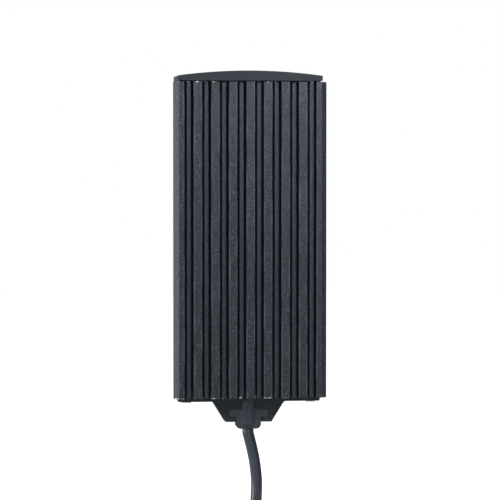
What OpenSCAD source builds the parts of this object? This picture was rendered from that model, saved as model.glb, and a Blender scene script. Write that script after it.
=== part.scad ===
// Enclosure heater: a finned aluminium extrusion closed by two moulded caps. A tunnel in the
// extrusion clamps a stack of self-regulating heating stones between two electrodes, a spring
// clip behind it hooks onto a 35 mm rail, and the supply lead leaves through a strain relief.
// Millimetres. +Z is up, the fins face -Y, and the origin lies on the front of the rail,
// level with the middle of the body.

/* [Body] */
// Width across the finned front
body_w = 75; // [66:0.5:100]
// Height of the extrusion
body_h = 165; // [155:1:240]
// Depth from the rear face to the fin tips
body_d = 26; // [24:0.5:34]
// Thickness of the side and rear walls
wall_t = 2.2; // [1.6:0.1:3]
// Thickness of the front wall beside the tunnel
front_wall_t = 2.5; // [2:0.1:4]
// Thickness of the front wall at the tunnel
tunnel_front_t = 4.5; // [4:0.1:6]
// Thickness of the tunnel's other walls
tunnel_wall_t = 2.5; // [1.6:0.1:3]

/* [Fins] */
// Distance between the middles of neighbouring fins
fin_pitch = 9.2; // [8.6:0.1:12]
// Width of a fin
fin_w = 4.5; // [3:0.1:5]
// Width of the rib between two fins
rib_w = 2.55; // [1.6:0.05:3]
// Depth of the slots behind the fin tips
slot_depth = 5; // [4:0.1:6]
// How far the ribs stay behind the fin tips
rib_drop = 2; // [0.2:0.1:2.4]
// Radius of the ribs' front edges
rib_edge_r = 0.5; // [0.1:0.05:0.7]
// Radius of the fins' front edges
fin_edge_r = 0.5; // [0.1:0.05:0.8]
// How far each side wing reaches past the finned front
wing_reach = 2.7; // [1:0.1:4]
// How far a wing slopes back from the fin tips
wing_drop = 3; // [2:0.1:5]
// Thickness of a wing's outer edge
wing_edge = 0.8; // [0.5:0.1:1.5]

/* [Heating stack] */
// Number of heating stones
stone_count = 4; // [2:1:4]
// Width of a stone
stone_w = 26; // [20:0.5:28]
// Thickness of a stone
stone_t = 2.2; // [1.4:0.1:2.6]
// Space between neighbouring stones
stone_gap = 2; // [1:0.1:3]
// Height of the stack's foot above the extrusion's lower end
stack_lift = 30; // [29:0.5:34]
// Space between the stack and the extrusion's upper end
stack_top = 9; // [5:0.5:14]
// Thickness of an electrode
electrode_t = 0.5; // [0.3:0.05:0.8]
// Width of an electrode's tab
tab_w = 6.3; // [4.8:0.1:7]
// Length of an electrode's tab
tab_h = 12; // [10:0.5:13]
// Distance of each tab from the middle
tab_x = 7; // [5.5:0.1:8]
// How far the front tab is bent towards the middle of the tunnel
tab_step = 1.5; // [1.2:0.1:1.8]
// Thickness of the insulating sleeve
sleeve_t = 0.4; // [0.2:0.05:0.6]
// How far the sleeve runs past the stack at each end
sleeve_over = 2.5; // [1:0.1:3]
// Height of the pressure spring as clamped
spring_h = 3; // [2:0.1:3.4]
// Thickness of the spring's strip
spring_t = 0.6; // [0.3:0.05:0.8]
// Length of the spring's bends on both sides of a corner
spring_bend = 1.2; // [0.6:0.1:1.5]
// Number of waves in the spring
spring_waves = 6; // [3:1:8]
// Side clearance of the stones in the sleeve and of the sleeve in the tunnel
stack_fit = 0.3; // [0.2:0.05:0.5]

/* [Caps] */
// Height of the upper cap at its ends
cap_edge_h = 2.6; // [2:0.1:4]
// Height of the upper cap in the middle
cap_crown_h = 5.2; // [4.4:0.1:8]
// Corner radius of the upper cap's arch
cap_arch_r = 0.7; // [0.6:0.1:1.8]
// Diameter of the moulding mark on the upper cap's front
gate_d = 0.9; // [0.5:0.1:1.5]
// Height of the moulding mark above the cap's lower face
gate_h = 3.1; // [1.5:0.1:3.3]
// Depth of the moulding mark
gate_depth = 0.3; // [0.1:0.05:0.5]
// Corner radius of both caps seen from above
cap_corner_r = 0.8; // [0.5:0.1:2]
// How far the upper cap reaches past the extrusion's sides
cap_over = 0.5; // [0.2:0.1:1.5]
// How far the upper cap stays behind the fin tips
top_set = 0.4; // [0.2:0.1:2]
// How far the lower cap stays behind the fin tips
bottom_set = 7; // [6:0.1:8]
// Thickness of the lower cap's plate
lip_t = 1.6; // [1.4:0.1:3]
// Radius of the lower cap's lower edge
lip_r = 0.8; // [0.5:0.1:1.3]
// Depth of the locating blocks under the caps
spigot_h = 3; // [2:0.5:5]
// Thickness of the gaskets
gasket_t = 0.6; // [0.4:0.1:1]
// How far the gaskets stay inside the caps' outlines
gasket_inset = 0.7; // [0.4:0.1:1]
// Clearance between moulded parts and what they enter
fit = 0.25; // [0.15:0.05:0.4]

/* [Lead outlet] */
// Width of the outlet where it leaves the lower cap
outlet_top_w = 38; // [34:0.5:44]
// Width of the outlet at its lower end
outlet_foot_w = 24.4; // [23.5:0.1:28]
// Height of the outlet
outlet_h = 11; // [10:0.1:14]
// Thickness of the outlet from front to rear
outlet_d = 8.5; // [8:0.1:10]
// Radius of the fillet between the outlet and the plate
outlet_fillet_r = 3; // [1.5:0.1:4]
// Radius of the outlet's lower corners
outlet_corner_r = 0.8; // [0.3:0.1:1.2]
// How far the strain relief's ridge stands proud of the outlet's front
ridge_proud = 0.5; // [0.2:0.1:1]
// Width of the strain relief's ridge
ridge_w = 7.1; // [6.6:0.1:7.2]
// How far the ridge's front bulges
ridge_rise = 0.9; // [0.5:0.1:1.2]
// Clearance on both sides of the ridge
ridge_fit = 0.1; // [0.05:0.05:0.2]
// Width of the strain relief's flange
flange_w = 20.8; // [18:0.1:21]
// Height of the strain relief's flange
flange_h = 4; // [3:0.1:4.4]
// Height of the outlet's floor under the flange
flange_floor = 2.5; // [2:0.1:3]
// Thickness of the flange behind the outlet's front
flange_d = 5.6; // [5:0.1:6]
// How far the flange's front lies behind the outlet's front
flange_set = 0.4; // [0.1:0.1:0.6]
// Width of the strain relief's neck
neck_w = 13.3; // [11:0.1:15]
// Height of the neck below the outlet
neck_h = 3.7; // [3.2:0.1:8]
// Radius of the neck's lower corners
neck_r = 2.6; // [1:0.1:2.6]
// Outer diameter of the strain relief's sleeve
relief_d = 7.4; // [7:0.1:8]

/* [Lead] */
// Diameter of the supply lead
lead_d = 6; // [5:0.1:6.4]
// Diameter of a core with its insulation
core_d = 2.2; // [1.6:0.1:2.4]
// Distance of the cores from the lead's axis
core_ring_r = 1.3; // [1.1:0.05:1.5]
// How far the sheath reaches into the extrusion
sheath_in = 1; // [0.5:0.1:3]
// Radius of the stored coil at the middle of its turns
coil_r = 31.5; // [30:0.5:36]
// Distance between neighbouring turns of the coil
turn_pitch = 6.2; // [6:0.1:7]
// Length of the lead that hangs from the coil
tail_h = 25; // [15:1:40]
// Width of the tie round the coil
tie_w = 3.5; // [2.5:0.1:5]
// Thickness of the tie
tie_t = 1.1; // [0.8:0.1:1.6]
// Clearance between the tie and the coil
tie_fit = 0.35; // [0.2:0.05:0.5]

/* [Fasteners] */
// Core diameter of the cap screws and of the ports that they cut into
port_d = 2.9; // [2.4:0.1:3.3]
// Wall round each screw port
port_wall_t = 1.7; // [1.2:0.1:2]
// Diameter of the cap screws' heads
head_d = 5.6; // [4.8:0.1:6]
// Height of the cap screws' heads
head_h = 1.1; // [0.6:0.1:1.2]
// Length of the cap screws under the head
screw_l = 12; // [8:0.5:20]
// Length of the arms of the screws' cross recess
cross_l = 3; // [2:0.1:3.2]
// Width of the arms of the cross recess
cross_w = 0.8; // [0.5:0.05:1]
// Depth of the cross recess
cross_h = 0.7; // [0.4:0.05:0.9]
// Core diameter of the earth screw and its port
earth_d = 3.3; // [2.6:0.1:3.4]
// Diameter of the earth screw's head
earth_head_d = 5.7; // [5:0.1:6]
// Height of the earth screw's head
earth_head_h = 2.2; // [1.6:0.1:2.6]
// Height of the notch that makes room for the earth connection
earth_notch_h = 9; // [8:0.1:10]

/* [Rail clip] */
// Thickness of the clip's spring steel
clip_t = 1.2; // [0.8:0.1:1.2]
// Width of the clip along the rail
clip_w = 30; // [20:0.5:50]
// Height of the rail that the clip takes
rail_w = 35; // [30:0.5:40]
// Thickness of the rail's flanges
rail_t = 1; // [0.8:0.1:1.5]
// Clearance between the clip and the rail
rail_fit = 0.3; // [0.2:0.05:0.5]
// How far the upper hook reaches over the rail's flange
upper_hook = 2.5; // [1.5:0.1:3]
// How far the lower hook reaches over the rail's flange
lower_hook = 2.4; // [2.4:0.1:3]
// How far the lower hook's lip reaches back for snapping on
lip_l = 3.5; // [2:0.1:4]
// Slope of that lip
lip_slope = 15; // [5:1:15]
// Diameter of the clip screws and their holes
clip_screw_d = 3.4; // [2.6:0.1:4]
// Distance between the clip screws
clip_screw_gap = 18; // [10:0.5:20]
// How far the clip screws reach past the rear wall
clip_screw_past = 2; // [1:0.1:3]

/* [Hidden] */
$fn = 64;
// Straight pieces that make up a bend in sheet
bend_steps = 6;
// How far pieces of one solid sink into each other
sink = 0.6;
// How far a cut runs past the face that it opens
past = 1;
half_w = body_w / 2;
half_h = body_h / 2;
cap_half_w = half_w + cap_over;
// The least width of the outermost fins
outer_fin_min = 2;
// Planes from the rear face to the fin tips
rear_y = -clip_t;
tip_y = rear_y - body_d;
slot_y = tip_y + slot_depth;
chamber_y = slot_y + front_wall_t;
chamber_rear_y = rear_y - wall_t;
// The clamped stack and the tunnel that holds it
stack_d = stone_t + 2 * electrode_t;
tunnel_y = slot_y + tunnel_front_t;
tunnel_w = stone_w + 2 * sleeve_t + 4 * stack_fit;
tunnel_rear_y = tunnel_y + stack_d + 2 * sleeve_t + spring_h;
tunnel_side_x = tunnel_w / 2 + tunnel_wall_t;
front_electrode_y = tunnel_y + sleeve_t;
stone_y = front_electrode_y + electrode_t;
rear_electrode_y = stone_y + stone_t;
spring_y = rear_electrode_y + electrode_t + sleeve_t;
stack_z = -half_h + stack_lift;
// The stones share the height that the extrusion leaves them
stack_h = body_h - stack_lift - stack_top;
stone_h = (stack_h + stone_gap) / stone_count - stone_gap;
// Fins on each side of the middle one
fin_pairs = floor((half_w - outer_fin_min + fin_w / 2) / fin_pitch);
outer_fin_x = fin_pairs * fin_pitch - fin_w / 2;
// Screw ports in the corners of the chamber
port_r = port_d / 2 + port_wall_t;
port_x = half_w - wall_t - port_r + sink;
port_ys = [chamber_y + port_r - sink, chamber_rear_y - port_r + sink];
earth_r = earth_d / 2 + port_wall_t;
earth_x = tunnel_side_x + earth_r - sink;
// Faces of the caps
top_z = half_h + gasket_t;
plate_z = -half_h - gasket_t;
lip_z = plate_z - lip_t;
outlet_z = lip_z - outlet_h;
spigot_in_x = earth_x + earth_r + fit;
spigot_out_x = port_x - port_r - fit;
// The lead's axis runs down the middle of the tunnel
lead_y = (tunnel_y + tunnel_rear_y) / 2;
outlet_y = lead_y - relief_d / 2 + ridge_proud;
ridge_back = relief_d / 5;
ridge_r = ((ridge_w / 2) ^ 2 + ridge_rise ^ 2) / (2 * ridge_rise);
flange_z = outlet_z + flange_floor;
neck_z = outlet_z - neck_h;
neck_front_y = outlet_y + flange_set;
sheath_z = -half_h + sheath_in;
// The clip's hooks
hook_y = rail_t + rail_fit + clip_t / 2;
hook_z = rail_w / 2 + rail_fit + clip_t / 2;
lip_bend_z = lower_hook - rail_w / 2 - clip_t / 2;
// Bends in the clip follow its sheet's thickness
clip_bend = 0.9 * clip_t;
lip_bend = 1.15 * clip_t;
// Crimp terminals on the electrodes' tabs
crimp_wall_t = 0.6;
crimp_h = 8;
barrel_h = 6;
barrel_d = core_d + 2 * crimp_wall_t;
tab_z = stack_z - tab_h;
front_tab_y = front_electrode_y + tab_step;
ring_t = 0.8;
ring_z = -half_h + earth_notch_h;
barrel_x = earth_x - earth_r - barrel_h;
// The cores where they leave the sheath
live_core = core_ring_r * [cos(210), sin(210), 0];
neutral_core = core_ring_r * [cos(330), sin(330), 0];
earth_core = core_ring_r * [0, 1, 0];
// The hanging lead, as sideways and downward steps from the strain relief's lower face
lead_route = [[0, 0], [0, -2], [0.6, -4.5], [1.5, -8], [2.6, -12.5], [3.6, -17.5], [4.3, -23],
    [4.7, -29], [4.5, -36], [4, -43], [3.6, -48], [3.4, -52], [3.4, -54]];
coil_drop = 77;
coil_side_x = 3.4;
coil_turns = 2;
coil_x = coil_side_x - coil_r;
coil_z = neck_z - coil_drop;
entry_z = neck_z + lead_route[len(lead_route) - 1][1];
// The last turn shifts sideways over this much of the coil
end_arc = 100;
tail_y = lead_y + coil_turns * turn_pitch;
tail_z = coil_z - tail_h;
// How far a core runs straight at its ends
core_straight = 1.5;
// Steps of the earth core from the sheath's end towards its ring
earth_route = [[0, 0, 1], [2, 0.4, 2.6], [5, 0.3, 3.2]];
// How far the other cores sag between the sheath's end and their terminals
core_sag = 1;
// The bared cores at the lead's end
core_l = 22;
core_spread = 3.2;
ferrule_collar_d = 3;
ferrule_collar_h = 6;
ferrule_pin_d = 1.5;
ferrule_pin_h = 8;

body_colour = "#3d4149";
cap_colour = "#383c43";
seal_colour = "#121315";
steel_colour = "#b9bcc0";
brass_colour = "#c8a860";
lead_colour = "#2a2d31";
live_colour = "#6b3f22";
neutral_colour = "#2a5fa8";
earth_colour = "#7fa52c";

// Shared shapes

// A box between two opposite corners
module block(low, high) {
    translate(low)
        cube(high - low);
}

// A flat rectangle between two opposite corners
module panel(low, high) {
    translate(low)
        square(high - low);
}

// A rectangle with round corners between two opposite corners
module round_panel(low, high, r) {
    panel(low + [r, 0], high - [r, 0]);
    panel(low + [0, r], high - [0, r]);
    for (x = [low.x + r, high.x - r], y = [low.y + r, high.y - r])
        translate([x, y])
            circle(r);
}

// A bar that stands on the slots' floor and points to the front, with rounded front edges
module front_bar(low_x, high_x, height, r) {
    panel([low_x, slot_y - height + r], [high_x, slot_y + sink]);
    panel([low_x + r, slot_y - height], [high_x - r, slot_y]);
    for (x = [low_x + r, high_x - r])
        translate([x, slot_y - height + r])
            circle(r);
}

// Children drawn in X and Z and given a thickness between two planes of Y
module from_front(low_y, high_y) {
    translate([0, high_y, 0])
        rotate([90, 0, 0])
            linear_extrude(high_y - low_y)
                children();
}

// Children drawn in Y and Z and given a thickness of width along X
module from_side(width) {
    rotate([90, 0, 90])
        linear_extrude(width, center = true)
            children();
}

// A path with each inner corner rounded, over the length in reaches on both sides of it
function bent(path, reaches) = [
    path[0],
    for (i = [1:len(path) - 2])
        let (a = path[i] - reaches[i - 1] * unit(path[i] - path[i - 1]),
            b = path[i] + reaches[i - 1] * unit(path[i + 1] - path[i]))
        for (k = [0:bend_steps])
            let (t = k / bend_steps)
            (1 - t) ^ 2 * a + 2 * t * (1 - t) * path[i] + t ^ 2 * b,
    path[len(path) - 1]];
function square_to(v) = [-v.y, v.x];
// From a path's point i to the edge of a strip of thickness t along it
function mitre(path, i, t) =
    let (first = max(i, 1), last = min(i, len(path) - 2),
        before = square_to(unit(path[first] - path[first - 1])),
        after = square_to(unit(path[last + 1] - path[last])))
    t / 2 * (before + after) / (1 + before * after);

// A strip of sheet that follows a path, with bends of the given reaches
module sheet_path(path, t, reaches) {
    line = bent(path, reaches);
    last = len(line) - 1;
    polygon(concat([for (i = [0:last]) line[i] + mitre(line, i, t)],
        [for (i = [last:-1:0]) line[i] - mitre(line, i, t)]));
}

function unit(v) = v / norm(v);
function along(path, i) = unit(path[min(i + 1, len(path) - 1)] - path[max(i - 1, 0)]);
// The points of one ring of a tube, square to the path
function tube_ring(centre, axis, d, sides) =
    let (u = unit(cross(axis, [0, 1, 0])), v = cross(axis, u))
    [for (k = [0:sides - 1])
        centre + d / 2 * (u * cos(360 * k / sides) + v * sin(360 * k / sides))];

// A tube swept along the points of a path
module tube(path, d, sides) {
    last = len(path) - 1;
    rings = [for (i = [0:last]) each tube_ring(path[i], along(path, i), d, sides)];
    sides_faces = [for (i = [0:last - 1], k = [0:sides - 1])
        let (a = i * sides + k, b = i * sides + (k + 1) % sides)
        each [[a, a + sides, b + sides], [a, b + sides, b]]];
    start_face = [for (k = [0:sides - 1]) k];
    end_face = [for (k = [sides - 1:-1:0]) last * sides + k];
    polyhedron(rings, concat([start_face], sides_faces, [end_face]));
}

// Children at each screw port
module at_ports() {
    for (side = [-1, 1], y = port_ys)
        translate([side * port_x, y, 0])
            children();
}

// Extrusion

// Fins with rounded front edges
module fins() {
    for (i = [1 - fin_pairs:fin_pairs - 1])
        front_bar(i * fin_pitch - fin_w / 2, i * fin_pitch + fin_w / 2, slot_depth, fin_edge_r);
}

// The outermost fins, each drawn out sideways into a sloping wing
module outer_fins() {
    inner_x = outer_fin_x + fin_edge_r;
    for (side = [0, 1])
        mirror([side, 0]) {
            panel([outer_fin_x, tip_y + fin_edge_r], [half_w, slot_y + sink]);
            translate([inner_x, tip_y + fin_edge_r])
                circle(fin_edge_r);
            polygon([
                [inner_x, tip_y],
                [half_w, tip_y],
                [half_w + wing_reach, tip_y + wing_drop],
                [half_w + wing_reach, tip_y + wing_drop + wing_edge],
                [half_w, tip_y + wing_drop + 2 * wing_edge],
                [inner_x, tip_y + wing_drop + 2 * wing_edge]]);
        }
}

// Ribs with rounded front edges, one in the middle of each gap between two fins
module ribs() {
    for (i = [-fin_pairs:fin_pairs - 1])
        front_bar((i + 0.5) * fin_pitch - rib_w / 2, (i + 0.5) * fin_pitch + rib_w / 2,
            slot_depth - rib_drop, rib_edge_r);
}

// The hollow round the tunnel, with the screw ports left standing in it
module chamber() {
    difference() {
        panel([wall_t - half_w, chamber_y], [half_w - wall_t, chamber_rear_y]);
        panel([-tunnel_side_x, chamber_y - past], [tunnel_side_x, tunnel_rear_y + tunnel_wall_t]);
        at_ports()
            circle(port_r);
        translate([earth_x, lead_y])
            circle(earth_r);
    }
}

module body_section() {
    difference() {
        union() {
            panel([-half_w, slot_y], [half_w, rear_y]);
            fins();
            outer_fins();
            ribs();
        }
        chamber();
        panel([-tunnel_w / 2, tunnel_y], [tunnel_w / 2, tunnel_rear_y]);
        at_ports()
            circle(d = port_d);
        translate([earth_x, lead_y])
            circle(d = earth_d);
    }
}

module finned_body() {
    color(body_colour)
        difference() {
            linear_extrude(body_h, center = true)
                body_section();
            block([tunnel_w / 2 - past, tunnel_y, -half_h - past],
                [earth_x + earth_r + fit, tunnel_rear_y, -half_h + earth_notch_h]);
            at_clip_screws()
                translate([0, rear_y + past, 0])
                    rotate([90, 0, 0])
                        cylinder(h = wall_t + 2 * past, d = clip_screw_d);
        }
}

// Caps

// Blocks that locate a cap in the extrusion's chamber, from one height to another
module spigots(low_z, high_z) {
    for (side = [0, 1])
        mirror([side, 0, 0])
            block([spigot_in_x, chamber_y + fit, low_z], [spigot_out_x, chamber_rear_y - fit, high_z]);
}

// The upper cap seen from the front: a flat arch with rounded ends
module arch_outline() {
    rise = cap_crown_h - cap_edge_h;
    arch_r = (cap_half_w ^ 2 + rise ^ 2) / (2 * rise);
    centre_z = cap_crown_h - arch_r;
    corner_z = centre_z + sqrt((arch_r - cap_arch_r) ^ 2 - (cap_half_w - cap_arch_r) ^ 2);
    panel([-cap_half_w, 0], [cap_half_w, corner_z]);
    for (side = [-1, 1])
        translate([side * (cap_half_w - cap_arch_r), corner_z])
            circle(cap_arch_r);
    intersection() {
        panel([cap_arch_r - cap_half_w, 0], [cap_half_w - cap_arch_r, cap_crown_h]);
        translate([0, centre_z])
            circle(arch_r, $fn = 256);
    }
}

module top_cap() {
    front_y = tip_y + top_set;
    color(cap_colour)
        difference() {
            union() {
                translate([0, 0, top_z])
                    intersection() {
                        from_front(front_y, rear_y)
                            arch_outline();
                        linear_extrude(cap_crown_h)
                            round_panel([-cap_half_w, front_y], [cap_half_w, rear_y], cap_corner_r);
                    }
                spigots(half_h - spigot_h, top_z + sink);
            }
            at_ports() {
                translate([0, 0, top_z - past])
                    cylinder(h = cap_crown_h + 2 * past, d = port_d + 2 * fit);
                translate([0, 0, top_z + cap_edge_h - head_h])
                    cylinder(h = cap_crown_h, d = head_d + 2 * fit);
            }
            translate([0, 0, top_z + gate_h])
                from_front(front_y - past, front_y + gate_depth)
                    circle(d = gate_d);
        }
}

// Half of the fillet between the plate and the outlet's sloping side
module outlet_fillet() {
    slope = atan2(outlet_h, (outlet_top_w - outlet_foot_w) / 2);
    reach = outlet_fillet_r * tan(slope / 2);
    corner = [outlet_top_w / 2, lip_z];
    centre = corner + [reach, -outlet_fillet_r];
    difference() {
        polygon([corner + [-reach, sink], corner + [reach, sink], corner + [reach, 0], centre,
            corner - reach * [cos(slope), sin(slope)], corner - [reach, 0]]);
        translate(centre)
            circle(outlet_fillet_r);
    }
}

// The outlet seen from the front: a trapezium with filleted shoulders and rounded feet
module outlet_outline() {
    slope = atan2(outlet_h, (outlet_top_w - outlet_foot_w) / 2);
    foot_x = outlet_foot_w / 2 - outlet_corner_r * tan(slope / 2);
    foot_z = outlet_z + outlet_corner_r;
    turn = outlet_corner_r * [sin(slope), -cos(slope)];
    for (side = [0, 1])
        mirror([side, 0]) {
            polygon([[-sink, lip_z + sink], [outlet_top_w / 2, lip_z + sink],
                [outlet_top_w / 2, lip_z], [foot_x, foot_z] + turn, [foot_x, foot_z],
                [foot_x, outlet_z], [-sink, outlet_z]]);
            translate([foot_x, foot_z])
                circle(outlet_corner_r);
            outlet_fillet();
        }
}

// The space in the outlet that takes the strain relief from the front
module relief_pocket() {
    axis_top = lip_z + past;
    rear_of_flange = neck_front_y + flange_d + fit;
    translate([0, lead_y, outlet_z - past])
        cylinder(h = axis_top - outlet_z, d = relief_d + 2 * fit);
    block([-ridge_w / 2 - ridge_fit, outlet_y - past, outlet_z - past],
        [ridge_w / 2 + ridge_fit, lead_y, lip_z]);
    block([-flange_w / 2 - fit, outlet_y - past, flange_z - fit],
        [flange_w / 2 + fit, rear_of_flange, flange_z + flange_h + fit]);
    block([-neck_w / 2 - fit, outlet_y - past, outlet_z - past],
        [neck_w / 2 + fit, rear_of_flange, flange_z]);
}

module bottom_cap() {
    front_y = tip_y + bottom_set;
    color(cap_colour)
        difference() {
            union() {
                intersection() {
                    from_front(front_y, rear_y)
                        difference() {
                            round_panel([-half_w, lip_z], [half_w, plate_z + 2 * lip_r], lip_r);
                            panel([-body_w, plate_z], [body_w, plate_z + 3 * lip_r]);
                        }
                    translate([0, 0, lip_z])
                        linear_extrude(lip_t)
                            round_panel([-half_w, front_y], [half_w, rear_y], cap_corner_r);
                }
                from_front(outlet_y, outlet_y + outlet_d)
                    outlet_outline();
                spigots(plate_z - sink, -half_h + spigot_h);
            }
            relief_pocket();
            translate([0, lead_y, lip_z - past])
                cylinder(h = lip_t + 2 * past, d = lead_d + 2 * fit);
            at_ports() {
                translate([0, 0, lip_z - past])
                    cylinder(h = lip_t + 2 * past, d = port_d + 2 * fit);
                translate([0, 0, lip_z - past])
                    cylinder(h = head_h / 2 + past, d = head_d + 2 * fit);
            }
        }
}

// A gasket under a cap whose front edge lies at front_y
module gasket(front_y, low_z) {
    translate([0, 0, low_z])
        linear_extrude(gasket_t)
            difference() {
                panel([gasket_inset - half_w, front_y + gasket_inset],
                    [half_w - gasket_inset, rear_y - gasket_inset]);
                for (side = [0, 1])
                    mirror([side, 0])
                        panel([spigot_in_x - fit, chamber_y], [spigot_out_x + fit, chamber_rear_y]);
                panel([-tunnel_w / 2, tunnel_y], [tunnel_w / 2, tunnel_rear_y]);
                at_ports()
                    circle(d = port_d + 2 * fit);
            }
}

module top_gasket() {
    color(seal_colour)
        gasket(tip_y + top_set, half_h);
}

module bottom_gasket() {
    color(seal_colour)
        gasket(tip_y + bottom_set, plate_z);
}

// The cross recess of a screw whose head ends at the origin, facing up
module cross_recess() {
    for (turn = [0, 90])
        rotate(turn)
            block([-cross_l / 2, -cross_w / 2, -cross_h], [cross_l / 2, cross_w / 2, past]);
}

// A screw that points down from its head's seat at the origin
module cap_screw() {
    difference() {
        cylinder(h = head_h, d = head_d);
        translate([0, 0, head_h])
            cross_recess();
    }
    translate([0, 0, -screw_l])
        cylinder(h = screw_l + (head_h - cross_h) / 2, d = port_d);
}

module top_cap_screws() {
    color(steel_colour)
        at_ports()
            translate([0, 0, top_z + cap_edge_h - head_h])
                cap_screw();
}

module bottom_cap_screws() {
    color(steel_colour)
        at_ports()
            translate([0, 0, lip_z + head_h / 2])
                mirror([0, 0, 1])
                    cap_screw();
}

// Strain relief and lead

// The strain relief's flange and neck seen from the front
module relief_outline() {
    panel([-flange_w / 2, flange_z], [flange_w / 2, flange_z + flange_h]);
    panel([-neck_w / 2, neck_z + neck_r], [neck_w / 2, flange_z + sink]);
    panel([neck_r - neck_w / 2, neck_z], [neck_w / 2 - neck_r, neck_z + neck_r]);
    for (side = [-1, 1])
        translate([side * (neck_w / 2 - neck_r), neck_z + neck_r])
            circle(neck_r);
}

// The strain relief's sleeve seen from above: round behind, with a wide, slightly bulging ridge in front
module relief_sleeve() {
    difference() {
        circle(d = relief_d);
        panel([-relief_d, -relief_d], [relief_d, -ridge_back]);
    }
    intersection() {
        panel([-ridge_w / 2, -relief_d], [ridge_w / 2, 0]);
        translate([0, ridge_r - relief_d / 2])
            circle(ridge_r);
    }
}

module strain_relief() {
    color(lead_colour)
        difference() {
            union() {
                from_front(neck_front_y, neck_front_y + flange_d)
                    relief_outline();
                translate([0, lead_y, outlet_z - neck_h / 2])
                    linear_extrude(lip_z - outlet_z + neck_h / 2)
                        relief_sleeve();
            }
            translate([0, lead_y, neck_z - past])
                cylinder(h = lip_z - neck_z + 2 * past, d = lead_d);
        }
}

// The end of the lead's sheath inside the strain relief, up to where the cores come out
module lead_sheath() {
    color(lead_colour)
        translate([0, lead_y, neck_z])
            cylinder(h = sheath_z - neck_z, d = lead_d);
}

module supply_cord() {
    color(lead_colour)
        tube([for (p = lead_route) [p.x, lead_y, neck_z + p.y]], lead_d, 12);
}

// The turns of the stored coil as one ring, with the lead's entry and its hanging end
module cord_coil() {
    ring_sides = [lead_y, lead_y + (coil_turns - 1) * turn_pitch];
    color(lead_colour) {
        translate([coil_x, 0, coil_z])
            rotate([90, 0, 0]) {
                rotate_extrude()
                    translate([coil_r, 0]) {
                        panel([-lead_d / 2, -ring_sides[1]], [lead_d / 2, -ring_sides[0]]);
                        for (y = ring_sides)
                            translate([0, -y])
                                circle(d = lead_d);
                    }
                rotate_extrude(angle = end_arc)
                    translate([coil_r, -tail_y]) {
                        circle(d = lead_d);
                        panel([-lead_d / 2, 0], [lead_d / 2, turn_pitch]);
                    }
            }
        translate([coil_side_x, lead_y, coil_z])
            cylinder(h = entry_z - coil_z, d = lead_d);
        translate([coil_side_x, tail_y, tail_z])
            cylinder(h = tail_h, d = lead_d);
    }
}

// A strap round the turns on the side away from the lead's entry
module cord_tie() {
    low = [-lead_d / 2 - tie_fit, lead_y - lead_d / 2 - tie_fit];
    high = [lead_d / 2 + tie_fit, lead_y + (coil_turns - 1) * turn_pitch + lead_d / 2 + tie_fit];
    r = lead_d / 2;
    color(seal_colour)
        translate([coil_x - coil_r, 0, coil_z])
            linear_extrude(tie_w, center = true)
                difference() {
                    round_panel(low - [tie_t, tie_t], high + [tie_t, tie_t], r + tie_t);
                    round_panel(low, high, r);
                }
}

// A core that leaves the sheath's end and spreads towards the side that offset points to
module core_end(offset) {
    start = [coil_side_x, tail_y, tail_z] + offset;
    spread = core_spread * unit(offset);
    tube([start, start - [0, 0, core_straight], start + spread / 3 - [0, 0, core_l / 3],
        start + spread - [0, 0, 2 * core_l / 3], start + spread - [0, 0, core_l - core_straight],
        start + spread - [0, 0, core_l]], core_d, 8);
}

module live_core_end() {
    color(live_colour)
        core_end(live_core);
}

module neutral_core_end() {
    color(neutral_colour)
        core_end(neutral_core);
}

module earth_core_end() {
    color(earth_colour)
        core_end(earth_core);
}

module core_ferrules() {
    color(steel_colour)
        for (offset = [live_core, neutral_core, earth_core])
            translate([coil_side_x, tail_y, tail_z - core_l] + offset + core_spread * unit(offset)) {
                translate([0, 0, -ferrule_collar_h])
                    cylinder(h = ferrule_collar_h, d = ferrule_collar_d);
                translate([0, 0, -ferrule_collar_h - ferrule_pin_h])
                    cylinder(h = ferrule_pin_h + sink, d = ferrule_pin_d);
            }
}

// Heating stack

module heating_stone(i) {
    z = stack_z + (i - 1) * (stone_h + stone_gap);
    color("#8b8f94")
        block([-stone_w / 2, stone_y, z], [stone_w / 2, rear_electrode_y, z + stone_h]);
}

module front_electrode() {
    foot_z = stack_z - stone_gap / 2;
    x = -tab_x;
    color(brass_colour) {
        block([-stone_w / 2, front_electrode_y, stack_z], [stone_w / 2, stone_y, stack_z + stack_h]);
        block([x - tab_w / 2, front_electrode_y, foot_z], [x + tab_w / 2, stone_y, stack_z + sink]);
        block([x - tab_w / 2, front_electrode_y, foot_z],
            [x + tab_w / 2, front_tab_y + electrode_t, foot_z + electrode_t]);
        block([x - tab_w / 2, front_tab_y, tab_z],
            [x + tab_w / 2, front_tab_y + electrode_t, foot_z + electrode_t]);
    }
}

module rear_electrode() {
    color(brass_colour) {
        block([-stone_w / 2, rear_electrode_y, stack_z],
            [stone_w / 2, rear_electrode_y + electrode_t, stack_z + stack_h]);
        block([tab_x - tab_w / 2, rear_electrode_y, tab_z],
            [tab_x + tab_w / 2, rear_electrode_y + electrode_t, stack_z + sink]);
    }
}

module insulating_sleeve() {
    inner_x = stone_w / 2 + stack_fit;
    low_z = stack_z - sleeve_over;
    high_z = stack_z + stack_h + sleeve_over;
    color("#b5752a")
        difference() {
            block([-inner_x - sleeve_t, tunnel_y, low_z], [inner_x + sleeve_t, spring_y, high_z]);
            block([-inner_x, front_electrode_y, low_z - past],
                [inner_x, spring_y - sleeve_t, high_z + past]);
        }
}

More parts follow.
